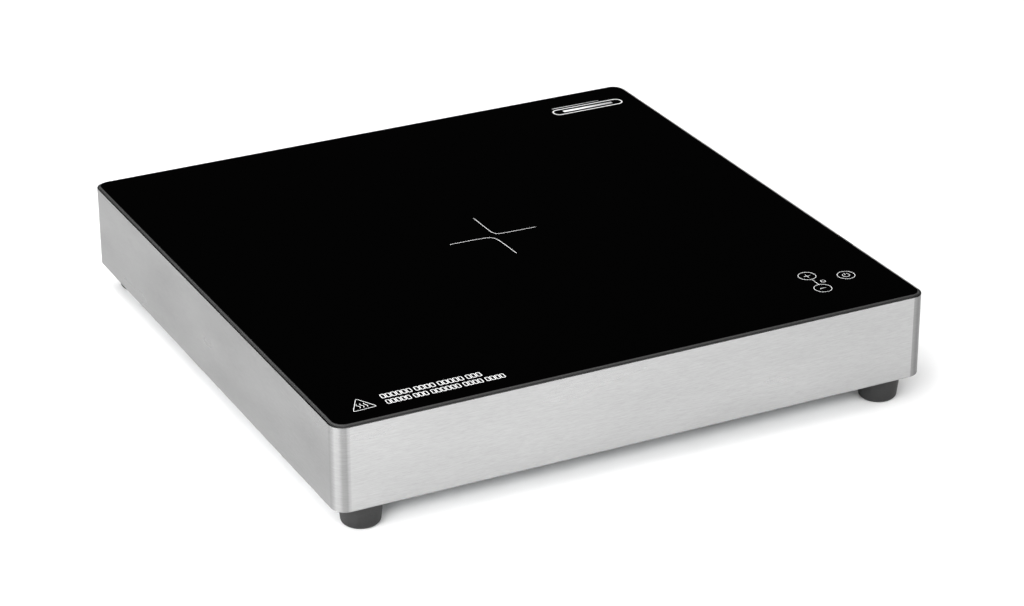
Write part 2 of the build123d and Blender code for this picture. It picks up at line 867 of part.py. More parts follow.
with BuildPart() as glass_sensor:
    with BuildSketch(Plane.XY.offset(glass_bottom)):
        Circle(sensor_radius)
    extrude(amount=-sensor_thickness)
save(glass_sensor, "glass_sensor")

# ---- touch controls ----------------------------------------------------------------------

# Tray on four legs, with pins that the touch board is staked to.
with BuildPart() as control_tray:
    with BuildSketch(Plane.XY.offset(tray_bottom)):
        with Locations((tray_x, tray_y)):
            RectangleRounded(tray_width, tray_depth, tray_leg_radius)
    extrude(amount=tray_thickness)
    with BuildSketch(Plane.XY.offset(casing_bottom)):
        with Locations(*tray_leg_places):
            Circle(tray_leg_radius)
    extrude(amount=tray_bottom - casing_bottom)
    with BuildSketch(Plane.XY.offset(tray_top)):
        with Locations(*tray_leg_places):
            Circle(tray_boss_radius)
    extrude(amount=tray_boss_height)
    with BuildSketch(Plane.XY.offset(control_board_bottom)):
        with Locations(*tray_leg_places):
            Circle(tray_pin_radius)
    extrude(amount=board_thickness + tray_pin_stand)
    with BuildSketch(Plane.XY.offset(casing_bottom)):
        with Locations(*tray_leg_places):
            Circle(m3_radius)
    extrude(amount=tray_screw_length, mode=Mode.SUBTRACT)
save(control_tray, "control_tray")

tray_screws = screws(
    tray_leg_places,
    plate_bottom,
    m3_radius,
    tray_screw_length,
    m3_head_radius,
    m3_head_height,
    True,
)
save(tray_screws, "tray_screws")

with BuildPart() as control_board:
    with BuildSketch(Plane.XY.offset(control_board_bottom)):
        with Locations((tray_x, tray_y)):
            RectangleRounded(tray_width, tray_depth, 2.0)
        with Locations(*tray_leg_places):
            Circle(tray_pin_radius, mode=Mode.SUBTRACT)
    extrude(amount=board_thickness)
save(control_board, "control_board")

# Conductive foam rings between the board and the glass, one under each touch key.
with BuildPart() as touch_pads:
    with BuildSketch(Plane.XY.offset(control_board_top)):
        with Locations(*touch_places):
            Circle(touch_pad_radius)
            Circle(touch_pad_radius - touch_pad_wall, mode=Mode.SUBTRACT)
    extrude(amount=pad_to_glass)
save(touch_pads, "touch_pads")

with BuildPart() as indicator_light:
    with BuildSketch(Plane.XY.offset(control_board_top)):
        with Locations(light_place):
            Circle(light_radius)
    extrude(amount=pad_to_glass - light_below_glass)
    fillet(indicator_light.faces().sort_by(Axis.Z)[-1].edges(), light_radius * 0.8)
save(indicator_light, "indicator_light")

with BuildPart() as buzzer:
    with BuildSketch(Plane.XY.offset(control_board_top)):
        with Locations((tray_x + 6.0, tray_y - 17.0)):
            Circle(buzzer_radius)
            Circle(1.0, mode=Mode.SUBTRACT)
    extrude(amount=buzzer_height)
save(buzzer, "buzzer")

# Flat cable from under the touch board down to the power board.
cable_start = Vector(tray_x - 4.0, tray_y + tray_depth / 2 - 4.0, 0)
cable_end = Vector(68.0, -38.0, 0)
cable_run = (cable_end - cable_start).length
cable_plane = Plane(
    origin=cable_start,
    x_dir=cable_end - cable_start,
    z_dir=(cable_end - cable_start).cross(Vector(0, 0, 1)),
)
with BuildPart() as ribbon_cable:
    with BuildLine(cable_plane) as cable_route:
        FilletPolyline(
            (0, control_board_bottom - ribbon_thickness / 2),
            (10.0, control_board_bottom - ribbon_thickness / 2),
            (cable_run - 26.0, board_top + ribbon_thickness / 2),
            (cable_run, board_top + ribbon_thickness / 2),
            radius=ribbon_bend,
        )
    with BuildSketch(
        Plane(
            origin=cable_route.line @ 0,
            x_dir=cable_plane.z_dir,
            z_dir=cable_route.line % 0,
        )
    ):
        Rectangle(ribbon_width, ribbon_thickness)
    sweep()
save(ribbon_cable, "ribbon_cable")

# ---- cooling fan -------------------------------------------------------------------------

hub_bottom = casing_bottom + fan_hub_above_floor
hub_top = fan_top - fan_hub_below_top
bearing_bottom = casing_bottom + fan_bearing_seat
bearing_top = bearing_bottom + fan_bearing_length
tube_top = bearing_top + 2 * fan_part_gap
shaft_bottom = bearing_bottom + fan_part_gap
base_top = casing_bottom + fan_base_thickness

# Frame with the round throat, the motor seat on four struts and the bearing tube.
with BuildPart() as fan_frame:
    with BuildSketch(Plane.XY.offset(casing_bottom)):
        with Locations((fan_x, fan_y)):
            RectangleRounded(fan_size, fan_size, fan_corner)
            Circle(fan_throat_radius, mode=Mode.SUBTRACT)
        with Locations(*fan_screw_places):
            Circle(m4_radius, mode=Mode.SUBTRACT)
    extrude(amount=fan_height)
    with BuildSketch(Plane.XY.offset(casing_bottom)):
        with Locations((fan_x, fan_y)):
            Circle(fan_base_radius)
            Rectangle(2 * fan_throat_radius + 1.0, fan_strut_width)
            Rectangle(fan_strut_width, 2 * fan_throat_radius + 1.0)
    extrude(amount=fan_base_thickness)
    with BuildSketch(Plane.XY.offset(base_top)):
        with Locations((fan_x, fan_y)):
            Circle(fan_tube_radius)
    extrude(amount=tube_top - base_top)
    with BuildSketch(Plane.XY.offset(tube_top)):
        with Locations((fan_x, fan_y)):
            Circle(fan_bearing_radius)
    extrude(amount=bearing_bottom - tube_top, mode=Mode.SUBTRACT)
save(fan_frame, "fan_frame")

with BuildPart() as fan_bearing:
    with BuildSketch(Plane.XY.offset(bearing_bottom)):
        with Locations((fan_x, fan_y)):
            Circle(fan_bearing_radius)
            Circle(fan_shaft_radius + fan_running_clearance, mode=Mode.SUBTRACT)
    extrude(amount=fan_bearing_length)
save(fan_bearing, "fan_bearing")

with BuildPart() as fan_stator:
    with BuildSketch(Plane.XY.offset(base_top)):
        with Locations((fan_x, fan_y)):
            Circle(fan_stator_radius - 3.0)
            Rectangle(2 * fan_stator_radius - 1.0, 7.0)
            Rectangle(7.0, 2 * fan_stator_radius - 1.0)
            Circle(fan_tube_radius, mode=Mode.SUBTRACT)
    extrude(amount=tube_top - base_top - 1.0)
save(fan_stator, "fan_stator")

with BuildPart() as fan_shaft:
    with BuildSketch(Plane.XY.offset(shaft_bottom)):
        with Locations((fan_x, fan_y)):
            Circle(fan_shaft_radius)
    extrude(amount=hub_top - fan_part_gap - shaft_bottom)
save(fan_shaft, "fan_shaft")

with BuildPart() as fan_magnet:
    with BuildSketch(Plane.XY.offset(hub_bottom + 1.0)):
        with Locations((fan_x, fan_y)):
            Circle(fan_hub_radius - fan_hub_wall)
            Circle(fan_hub_radius - fan_hub_wall - fan_magnet_wall, mode=Mode.SUBTRACT)
    extrude(amount=hub_top - fan_hub_wall - hub_bottom - 1.0)
save(fan_magnet, "fan_magnet")

# Rotor: a cup-shaped hub with pitched blades, pressed on the shaft.
blade_tip_radius = fan_throat_radius - fan_tip_gap
blade_z = (hub_bottom + hub_top) / 2
with BuildPart() as fan_rotor:
    for blade in range(fan_blades):
        turn_angle = 2 * math.pi * blade / fan_blades
        blade_plane = Plane(
            origin=(
                fan_x + (fan_hub_radius - 1.0) * math.cos(turn_angle),
                fan_y + (fan_hub_radius - 1.0) * math.sin(turn_angle),
                blade_z,
            ),
            x_dir=(-math.sin(turn_angle), math.cos(turn_angle), 0),
            z_dir=(math.cos(turn_angle), math.sin(turn_angle), 0),
        )
        with BuildSketch(blade_plane):
            Rectangle(blade_chord, blade_thickness, rotation=blade_pitch)
        extrude(amount=fan_throat_radius)
    with BuildSketch(Plane.XY.offset(hub_bottom)):
        with Locations((fan_x, fan_y)):
            Circle(blade_tip_radius)
    extrude(amount=hub_top - hub_bottom, mode=Mode.INTERSECT)
    with BuildSketch(Plane.XY.offset(hub_bottom)):
        with Locations((fan_x, fan_y)):
            Circle(fan_hub_radius)
    extrude(amount=hub_top - hub_bottom)
    with BuildSketch(Plane.XY.offset(hub_bottom)):
        with Locations((fan_x, fan_y)):
            Circle(fan_hub_radius - fan_hub_wall)
    extrude(amount=hub_top - fan_hub_wall - hub_bottom, mode=Mode.SUBTRACT)
    with BuildSketch(Plane.XY.offset(hub_top - fan_hub_wall)):
        with Locations((fan_x, fan_y)):
            Circle(4.0)
    extrude(amount=-3.0)
    with BuildSketch(Plane.XY.offset(tube_top + fan_part_gap)):
        with Locations((fan_x, fan_y)):
            Circle(fan_shaft_radius)
    extrude(amount=hub_top - tube_top - 2 * fan_part_gap, mode=Mode.SUBTRACT)
save(fan_rotor, "fan_rotor")

fan_screws = screws(
    fan_screw_places,
    plate_bottom,
    m4_radius,
    fan_screw_length,
    m4_head_radius,
    m4_head_height,
    True,
)
save(fan_screws, "fan_screws")

# Hood over the fan that turns the air towards the heat sink.
duct_length = fan_size + duct_overhang
duct_x = fan_x + duct_overhang / 2
with BuildPart() as air_duct:
    with BuildSketch(Plane.XY.offset(fan_top)):
        with Locations((duct_x, fan_y)):
            Rectangle(duct_length, fan_size)
    extrude(amount=duct_height)
    with BuildSketch(Plane.XY.offset(fan_top)):
        with Locations((duct_x + duct_wall, fan_y)):
            Rectangle(duct_length, fan_size - 2 * duct_wall)
    extrude(amount=duct_height - duct_wall, mode=Mode.SUBTRACT)
save(air_duct, "air_duct")

# Insulated wires: three from the filter board to the mains terminals, two from fan to power board.
mains_wire_start = filter_right - wire_overlap
mains_wire_end = cord_x - terminal_block_width / 2
fan_wire_start = fan_x + fan_size / 2
with BuildPart() as inner_wires:
    with BuildSketch(Plane.YZ.offset(mains_wire_start)):
        with Locations((block_y, board_top + wire_radius)):
            with GridLocations(wire_spacing, wire_spacing, 3, 1):
                Circle(wire_radius)
    extrude(amount=mains_wire_end - mains_wire_start)
    with BuildSketch(Plane.YZ.offset(fan_wire_start)):
        with Locations((fan_y - 30.0, board_top + fan_wire_radius)):
            with GridLocations(3 * fan_wire_radius, 1.0, 2, 1):
                Circle(fan_wire_radius)
    extrude(amount=power_board_left + wire_overlap - fan_wire_start)
save(inner_wires, "inner_wires")
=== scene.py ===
import bpy
import json
import math
from mathutils import Matrix, Vector


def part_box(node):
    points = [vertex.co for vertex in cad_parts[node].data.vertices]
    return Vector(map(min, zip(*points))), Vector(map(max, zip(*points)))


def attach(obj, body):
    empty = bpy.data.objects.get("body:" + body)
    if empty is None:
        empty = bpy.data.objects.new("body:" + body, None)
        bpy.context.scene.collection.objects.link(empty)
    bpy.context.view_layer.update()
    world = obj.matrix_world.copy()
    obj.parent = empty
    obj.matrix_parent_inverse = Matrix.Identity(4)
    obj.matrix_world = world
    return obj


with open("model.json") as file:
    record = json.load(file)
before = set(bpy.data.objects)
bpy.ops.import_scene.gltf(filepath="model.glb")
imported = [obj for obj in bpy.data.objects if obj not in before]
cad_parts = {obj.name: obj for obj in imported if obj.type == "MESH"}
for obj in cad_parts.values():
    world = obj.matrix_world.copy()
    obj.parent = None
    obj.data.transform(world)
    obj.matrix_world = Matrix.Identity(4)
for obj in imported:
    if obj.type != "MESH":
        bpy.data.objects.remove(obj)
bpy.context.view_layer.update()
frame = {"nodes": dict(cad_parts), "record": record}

mm = 0.001
nodes = frame["nodes"]

# Levels and edges that the pieces below are placed by, all read from the frame
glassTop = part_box("glass_top")[1].z
steelLow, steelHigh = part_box("housing")
rightSide, frontSide, leftSide, backSide = steelHigh.x, steelLow.y, steelLow.x, steelHigh.y
print("frame loaded:", len(nodes), "nodes")


def hexColour(text):
    # sRGB hex to the linear colour that shaders take
    channels = [int(text[i:i + 2], 16) / 255 for i in (1, 3, 5)]
    linear = [c / 12.92 if c <= 0.04045 else ((c + 0.055) / 1.055) ** 2.4 for c in channels]
    return (*linear, 1.0)


def addNode(tree, kind, settings=None, links=None):
    # One node with its settings by name and its inputs set or linked
    node = tree.nodes.new(kind)
    for name, value in (settings or {}).items():
        setattr(node, name, value)
    for name, value in (links or {}).items():
        socket = node.inputs[name]
        if isinstance(value, bpy.types.NodeSocket):
            tree.links.new(value, socket)
        else:
            socket.default_value = value
    return node


def newMaterial(name):
    material = bpy.data.materials.new(name)
    material.use_nodes = True
    tree = material.node_tree
    shader = tree.nodes["Principled BSDF"]
    place = addNode(tree, "ShaderNodeTexCoord").outputs["Object"]
    return material, tree, shader, place


def grainAt(tree, place, grainMm, stretch=(1, 1, 1), detail=2.0, fineness=0.5):
    # Noise whose grain is grainMm across, stretched by dividing the pattern's scale along each axis
    size = [1 / (grainMm * mm * s) for s in stretch]
    spread = addNode(tree, "ShaderNodeMapping", links={"Vector": place, "Scale": size})
    noise = addNode(tree, "ShaderNodeTexNoise", links={
        "Vector": spread.outputs["Vector"], "Scale": 1.0, "Detail": detail, "Roughness": fineness})
    return noise.outputs["Fac"]


def rampTo(tree, factor, low, high, fromLow=0.3, fromHigh=0.7):
    # A number between low and high, following the factor
    span = addNode(tree, "ShaderNodeMapRange", links={
        "Value": factor, "From Min": fromLow, "From Max": fromHigh, "To Min": low, "To Max": high})
    return span.outputs["Result"]


def mixColours(tree, factor, first, second):
    # A colour mix has its colours in sockets 6 and 7 and gives the result in socket 2
    mix = addNode(tree, "ShaderNodeMix", {"data_type": "RGBA"})
    tree.links.new(factor, mix.inputs[0])
    for socket, value in ((mix.inputs[6], first), (mix.inputs[7], second)):
        if isinstance(value, bpy.types.NodeSocket):
            tree.links.new(value, socket)
        else:
            socket.default_value = value
    return mix.outputs[2]


def setShader(tree, shader, values):
    for name, value in values.items():
        if isinstance(value, bpy.types.NodeSocket):
            tree.links.new(value, shader.inputs[name])
        else:
            shader.inputs[name].default_value = value


def bumpFrom(tree, height, depthMm, strength=1.0):
    bump = addNode(tree, "ShaderNodeBump", links={
        "Height": height, "Distance": depthMm * mm, "Strength": strength})
    return bump.outputs["Normal"]


# Angles in degrees, distances in metres, focal length and sensor in millimetres
cameraSet = {
    "azimuth": -26.65,
    "elevation": 25.24,
    "roll": -0.18,
    "distance": 1.9417,
    "aimAside": 0.0111,
    "aimUp": 0.0073,
    "focalLength": 110.35,
    "sensorWidth": 36,
    "farClip": 50,
}


def addCamera():
    azimuth, elevation = math.radians(cameraSet["azimuth"]), math.radians(cameraSet["elevation"])
    backward = Vector((math.sin(azimuth) * math.cos(elevation),
                       -math.cos(azimuth) * math.cos(elevation), math.sin(elevation)))
    aside = Vector((0, 0, 1)).cross(backward).normalized()
    upward = backward.cross(aside)
    turn = Matrix.Rotation(math.radians(cameraSet["roll"]), 3, backward)
    aside, upward = turn @ aside, turn @ upward
    place = (backward * cameraSet["distance"] + aside * cameraSet["aimAside"]
             + upward * cameraSet["aimUp"])
    place.z += steelLow.z
    bpy.ops.object.camera_add()
    camera = bpy.context.object
    camera.data.sensor_width = cameraSet["sensorWidth"]
    camera.data.lens = cameraSet["focalLength"]
    camera.data.clip_end = cameraSet["farClip"]
    rotation = Matrix((aside, upward, backward)).transposed().to_4x4()
    camera.matrix_world = Matrix.Translation(place) @ rotation
    bpy.context.scene.camera = camera


studio = {
    "floorSize": 16.0,
    "floorColour": "#F2F2F2",
    "floorMottle": "#F6F6F6",
    "mottleMm": 60,
    "floorRough": 0.9,
    "backdrop": "#FFFFFF",
    "horizonGlow": 0.8,
    "bandGlow": 0.005,
    "zenithGlow": 0.9,
    # heights of the glows, from 0 straight down to 1 straight up
    "horizon": 0.50,
    "bandFrom": 0.53,
    "bandTo": 0.86,
}

# name: (place, aimed at, width, height, watts)
softLights = {
    "keyLight": ((-0.9, 0.7, 2.4), (0, 0, 0), 2.2, 2.2, 72.0),
    "frontLight": ((0.4, -2.0, 1.5), (0.05, -0.75, 0), 1.6, 0.8, 31.0),
    "leftLight": ((-1.4, -0.9, 0.7), (-0.4, -0.3, 0), 1.4, 0.6, 46.0),
    "rightLight": ((2.0, -0.2, 1.3), (0.6, 0.0, 0), 1.2, 0.8, 9.0),
}


def addFloor():
    bpy.ops.mesh.primitive_plane_add(size=studio["floorSize"], location=(0, 0, 0))
    floor = bpy.context.object
    floor.name = "floor"
    # Matt white studio board: nearly even, with a trace of mottle
    material, tree, shader, place = newMaterial("whiteStudioBoard")
    mottle = grainAt(tree, place, studio["mottleMm"], detail=3)
    board = mixColours(
        tree, mottle, hexColour(studio["floorColour"]), hexColour(studio["floorMottle"]))
    setShader(tree, shader, {"Base Color": board, "Roughness": studio["floorRough"]})
    floor.data.materials.append(material)


def addLights():
    for name, (place, target, width, height, watts) in softLights.items():
        bpy.ops.object.light_add(type="AREA", location=place)
        light = bpy.context.object
        light.name = name
        light.data.shape = "RECTANGLE"
        light.data.size, light.data.size_y, light.data.energy = width, height, watts
        light.rotation_euler = (Vector(target) - Vector(place)).to_track_quat("-Z", "Y").to_euler()
        light.visible_glossy = False    # the polished glass mirrors the dark studio, not the lamps


def addWorld():
    # Bright to the camera; to everything else a dark studio with a pale horizon and a dim ceiling
    world = bpy.data.worlds.new("studioRoom")
    bpy.context.scene.world = world
    world.use_nodes = True
    tree = world.node_tree
    background = tree.nodes["Background"]
    direction = addNode(tree, "ShaderNodeTexCoord").outputs["Generated"]
    height = addNode(tree, "ShaderNodeSeparateXYZ", links={"Vector": direction}).outputs["Z"]
    ramp = addNode(tree, "ShaderNodeValToRGB")
    tree.links.new(rampTo(tree, height, 0, 1, -1, 1), ramp.inputs["Fac"])
    stops = [(studio["horizon"], studio["horizonGlow"]), (studio["bandFrom"], studio["bandGlow"]),
             (studio["bandTo"], studio["bandGlow"]), (1.0, studio["zenithGlow"])]
    ramp.color_ramp.elements.remove(ramp.color_ramp.elements[1])
    ramp.color_ramp.elements[0].position = stops[0][0]
    ramp.color_ramp.elements[0].color = (stops[0][1],) * 3 + (1,)
    for position, glow in stops[1:]:
        ramp.color_ramp.elements.new(position).color = (glow,) * 3 + (1,)
    cameraRay = addNode(tree, "ShaderNodeLightPath").outputs["Is Camera Ray"]
    seen = mixColours(tree, cameraRay, ramp.outputs["Color"], hexColour(studio["backdrop"]))
    tree.links.new(seen, background.inputs["Color"])
    bpy.context.scene.view_settings.view_transform = "Standard"


bpy.ops.object.select_all(action="DESELECT")
addCamera()
addFloor()
addLights()
addWorld()
print("camera, floor and lights placed")


steelFinish = {
    "tone": "#B8B8B8",
    "shade": "#969696",
    "grainMm": 0.42,        # real grain is about 0.15 mm: drawn coarser so that it shows
    "grainLength": 24,
    "grainDetail": 4,
    "fineness": 0.6,
    "fleckMm": 0.4,
    "fleckLength": 9,
    "fleckDetail": 3,
    "fleckFrom": 0.5,       # noise above this starts a darker fleck, which is full at fleckFull
    "fleckFull": 0.75,
    "fleckStrength": 0.5,
    "cloudMm": 45,
    "cloudStretch": (2, 2, 0.6),
    "roughLow": 0.26,
    "roughHigh": 0.36,
    "bumpMm": 0.015,
    "bumpStrength": 0.5,
    # facing left (-1) to facing right (+1): how much painted light the sheet's colour is given. The
    # bends get painted upright light and dark bands, and the side walls painted shade so they look
    # deeper
    "paintedLightByFacing": ((-1.0, 0.52), (-0.96, 0.68), (-0.84, 0.98), (-0.68, 0.9), (-0.5, 0.62), (-0.25, 0.58),
              (-0.03, 1.0), (0.01, 0.98), (0.1, 0.62), (0.4, 0.38), (0.8, 0.27), (1.0, 0.7)),
}


def brushedStainless():
    # Brushed 18/10 stainless sheet: silver grey, with fine level lines that smear what it mirrors
    material, tree, shader, place = newMaterial("brushedStainless")
    long, fineness = steelFinish["grainLength"], steelFinish["fineness"]
    lines = grainAt(tree, place, steelFinish["grainMm"], (long, long, 1),
                    steelFinish["grainDetail"], fineness)
    cloud = grainAt(tree, place, steelFinish["cloudMm"], steelFinish["cloudStretch"])
    facing = addNode(tree, "ShaderNodeSeparateXYZ", links={
        "Vector": addNode(tree, "ShaderNodeTexCoord").outputs["Normal"]}).outputs["X"]
    # painted light and shade: a gain, read from which way the sheet faces, that scales the colour
    paintedBands = addNode(tree, "ShaderNodeFloatCurve", links={
        "Value": rampTo(tree, facing, 0, 1, -1, 1)})
    curve = paintedBands.mapping.curves[0]
    curveTop = 2.0      # the curve only reaches 1, so it holds the shares divided by this
    points = [((side + 1) / 2, share / curveTop) for side, share in steelFinish["paintedLightByFacing"]]
    curve.points[0].location, curve.points[-1].location = points[0], points[-1]
    for point in points[1:-1]:
        curve.points.new(*point)
    for point in curve.points:
        point.handle_type = "VECTOR"
    paintedBands.mapping.update()
    paintedGain = addNode(tree, "ShaderNodeMath", {"operation": "MULTIPLY"})
    tree.links.new(paintedBands.outputs["Value"], paintedGain.inputs[0])
    paintedGain.inputs[1].default_value = curveTop
    fleckLong = steelFinish["fleckLength"]
    flecks = grainAt(tree, place, steelFinish["fleckMm"], (fleckLong, fleckLong, 1),
                     steelFinish["fleckDetail"], fineness)
    fleckShare = rampTo(tree, flecks, 0, steelFinish["fleckStrength"],
                        steelFinish["fleckFrom"], steelFinish["fleckFull"])
    shade, tone = hexColour(steelFinish["shade"]), hexColour(steelFinish["tone"])
    brushed = mixColours(tree, fleckShare, mixColours(tree, lines, shade, tone), shade)
    # the painted light and shade is multiplied into the brushed colour here
    paintedSteel = addNode(tree, "ShaderNodeVectorMath", {"operation": "SCALE"}, {
        "Vector": brushed, "Scale": paintedGain.outputs["Value"]}).outputs["Vector"]
    setShader(tree, shader, {
        "Base Color": paintedSteel,
        "Metallic": 1.0,
        "Roughness": rampTo(tree, cloud, steelFinish["roughLow"], steelFinish["roughHigh"]),
        "Normal": bumpFrom(tree, lines, steelFinish["bumpMm"], steelFinish["bumpStrength"])})
    return material


glassFinish = {
    "body": "#010101",
    "groundEdge": "#3A3A3A",
    "groundShade": "#2E2E2E",
    "edgeGrainMm": 0.4,
    "edgeRough": 0.45,
    "polishFrom": 0.80,     # the face turns from ground to polished between these two slopes
    "polishTo": 0.97,
    "wipeMm": 70,
    "wipeLow": 0.03,
    "wipeHigh": 0.07,
    "ior": 1.52,
}


def blackGlassCeramic():
    # Polished black glass-ceramic: a near-black mirror on top, with a matt grey ground edge
    material, tree, shader, place = newMaterial("blackGlassCeramic")
    normal = addNode(tree, "ShaderNodeTexCoord").outputs["Normal"]
    facing = addNode(tree, "ShaderNodeSeparateXYZ", links={"Vector": normal}).outputs["Z"]
    flat = rampTo(tree, facing, 0, 1, glassFinish["polishFrom"], glassFinish["polishTo"])
    grit = grainAt(tree, place, glassFinish["edgeGrainMm"])
    edge = mixColours(
        tree, grit, hexColour(glassFinish["groundShade"]), hexColour(glassFinish["groundEdge"]))
    wipe = grainAt(tree, place, glassFinish["wipeMm"], detail=3)
    wiped = rampTo(tree, wipe, glassFinish["wipeLow"], glassFinish["wipeHigh"])
    # a number mix has its factor in socket 0 and its numbers in sockets 2 and 3
    rough = addNode(tree, "ShaderNodeMix", links={
        0: flat, 2: glassFinish["edgeRough"], 3: wiped}).outputs[0]
    setShader(tree, shader, {
        "Base Color": mixColours(tree, flat, edge, hexColour(glassFinish["body"])),
        "Roughness": rough,
        "IOR": glassFinish["ior"]})
    return material


jointFinish = {
    "shade": "#565656",
    "tone": "#626262",
    "waveMm": 6,
    "rough": 0.55,
    "bumpMm": 0.1,
    "bumpStrength": 0.3,
}


def siliconeJoint():
    # Dark grey silicone, tooled smooth by finger: soft sheen, slightly wavy
    material, tree, shader, place = newMaterial("siliconeJoint")
    wave = grainAt(tree, place, jointFinish["waveMm"])
    shade, tone = hexColour(jointFinish["shade"]), hexColour(jointFinish["tone"])
    setShader(tree, shader, {
        "Base Color": mixColours(tree, wave, shade, tone),
        "Roughness": jointFinish["rough"],
        "Normal": bumpFrom(tree, wave, jointFinish["bumpMm"], jointFinish["bumpStrength"])})
    return material


rubberFinish = {
    "body": "#1C1C1C",
    "dusty": "#292929",
    "pebbleMm": 0.7,
    "dustMm": 7,
    "roughLow": 0.55,
    "roughHigh": 0.75,
    "bumpMm": 0.06,
    "bumpStrength": 0.5,
}


def mouldedRubber():
    # Moulded black nitrile rubber: matt charcoal with a fine pebble and dusty high spots
    material, tree, shader, place = newMaterial("mouldedRubber")
    pebble = grainAt(tree, place, rubberFinish["pebbleMm"], detail=3)
    dust = grainAt(tree, place, rubberFinish["dustMm"], detail=3)
    body, dusty = hexColour(rubberFinish["body"]), hexColour(rubberFinish["dusty"])
    setShader(tree, shader, {
        "Base Color": mixColours(tree, dust, body, dusty),
        "Roughness": rampTo(tree, pebble, rubberFinish["roughLow"], rubberFinish["roughHigh"]),
        "Normal": bumpFrom(tree, pebble, rubberFinish["bumpMm"], rubberFinish["bumpStrength"])})
    return material


zincFinish = {
    "shade": "#9DA0A2",
    "tone": "#B4B7B9",
    "crystalMm": 9,
    "metal": 0.9,
    "roughLow": 0.38,
    "roughHigh": 0.55,
}


def galvanisedSheet():
    # Hot-dip galvanised sheet: pale grey with centimetre crystals of slightly different shine
    material, tree, shader, place = newMaterial("galvanisedSheet")
    crystals = addNode(tree, "ShaderNodeTexVoronoi", links={
        "Vector": place, "Scale": 1 / (zincFinish["crystalMm"] * mm)})
    spangle = addNode(tree, "ShaderNodeSeparateXYZ", links={
        "Vector": crystals.outputs["Color"]}).outputs["X"]
    shade, tone = hexColour(zincFinish["shade"]), hexColour(zincFinish["tone"])
    setShader(tree, shader, {
        "Base Color": mixColours(tree, spangle, shade, tone),
        "Metallic": zincFinish["metal"],
        "Roughness": rampTo(
            tree, spangle, zincFinish["roughLow"], zincFinish["roughHigh"], 0, 1)})
    return material


# What each plainer finish is: colours, metal or not, roughness from and to, grain in mm, bump in mm
plainFinishes = {
    # zinc-plated steel: bright cool grey, faintly cloudy
    "zincPlate": ("#B4B7BB", "#C6C9CC", 1.0, 0.22, 0.36, 4.0, 0.01),
    # moulded black nylon: charcoal with a fine spark-eroded texture
    "blackNylon": ("#161616", "#1E1E1E", 0.0, 0.42, 0.55, 0.8, 0.04),
    # natural nylon: milky ivory, waxy
    "naturalNylon": ("#D8D4C6", "#E4E1D6", 0.0, 0.38, 0.50, 3.0, 0.02),
    # PVC wire covering: smooth, slightly glossy
    "wireCovering": ("#3A2418", "#4A2F20", 0.0, 0.30, 0.40, 2.0, 0.02),
    # solder-masked glass fibre board: deep green with a woven mottle
    "solderMask": ("#0E4A26", "#17602F", 0.0, 0.25, 0.38, 1.2, 0.02),
    # moulded epoxy case: dense black, eggshell sheen
    "mouldedEpoxy": ("#141414", "#1C1C1D", 0.0, 0.40, 0.52, 1.0, 0.03),
    # extruded aluminium: soft silver with a dull oxide
    "millAluminium": ("#BEC1C4", "#CDD0D2", 1.0, 0.30, 0.44, 6.0, 0.02),
    # polypropylene capacitor case: ochre, glossy
    "capacitorCase": ("#B98A2E", "#C99A3C", 0.0, 0.22, 0.32, 5.0, 0.01),
    # drawn tin-plated can: bright and smooth
    "tinnedCan": ("#B7B9BC", "#C8CACC", 1.0, 0.20, 0.32, 5.0, 0.01),
    # enamelled copper wire: red brown, with a lacquer shine
    "enamelledCopper": ("#8A4526", "#A85A33", 0.8, 0.24, 0.40, 1.6, 0.06),
    # glass tube of a fuse: pale grey with a slick surface
    "fuseGlass": ("#C8CCCC", "#D8DCDC", 0.0, 0.06, 0.12, 4.0, 0.01),
    # brass terminal: yellow, a little tarnished
    "terminalBrass": ("#A8873F", "#BE9C50", 1.0, 0.28, 0.45, 3.0, 0.02),
    # tempered spring strip: dark straw grey
    "springStrip": ("#8E8A82", "#A19D95", 1.0, 0.25, 0.40, 3.0, 0.01),
    # glass-filled plastic: brown black with fibres near the surface
    "glassFilledPlastic": ("#211D1A", "#2C2723", 0.0, 0.48, 0.62, 0.9, 0.05),
    # sintered ferrite: dark graphite, slightly porous
    "sinteredFerrite": ("#2B2C2E", "#38393B", 0.2, 0.50, 0.68, 0.6, 0.05),
    # pressed mica: flaky grey gold
    "pressedMica": ("#A39771", "#BBAF88", 0.1, 0.30, 0.50, 3.5, 0.03),
    # heat-resistant silicone: off-white and soft
    "whiteSilicone": ("#D9D9D4", "#E6E6E2", 0.0, 0.50, 0.62, 4.0, 0.03),
    # conductive foam: dark grey open cells
    "conductiveFoam": ("#2A2A2A", "#3A3A3A", 0.0, 0.80, 0.95, 0.7, 0.15),
    # tinted epoxy lens of a small light: clear red, glossy
    "tintedLens": ("#A8281C", "#BC3424", 0.0, 0.08, 0.14, 4.0, 0.01),
    # flat cable covering: grey PVC
    "flatCable": ("#8D9094", "#9A9DA1", 0.0, 0.35, 0.45, 1.3, 0.08),
    # oil-filled sintered bronze: dull warm brown
    "sinteredBronze": ("#8C6F3E", "#9F8150", 0.9, 0.40, 0.58, 0.5, 0.03),
}

# the record's slot: the finish it gets
slotFinish = {
    "zinc_plated": "zincPlate", "black_nylon": "blackNylon", "white_nylon": "naturalNylon",
    "wire_insulation": "wireCovering", "circuit_board": "solderMask",
    "black_epoxy": "mouldedEpoxy", "aluminium": "millAluminium",
    "capacitor_case": "capacitorCase", "capacitor_can": "tinnedCan",
    "copper_winding": "enamelledCopper", "fuse_glass": "fuseGlass",
    "brass_terminal": "terminalBrass", "spring_steel": "springStrip",
    "former_plastic": "glassFilledPlastic", "ferrite": "sinteredFerrite", "mica": "pressedMica",
    "white_silicone": "whiteSilicone", "conductive_foam": "conductiveFoam",
    "light_lens": "tintedLens", "ribbon_insulation": "flatCable",
    "brass_bearing": "sinteredBronze",
}
plainBumpStrength = 0.4


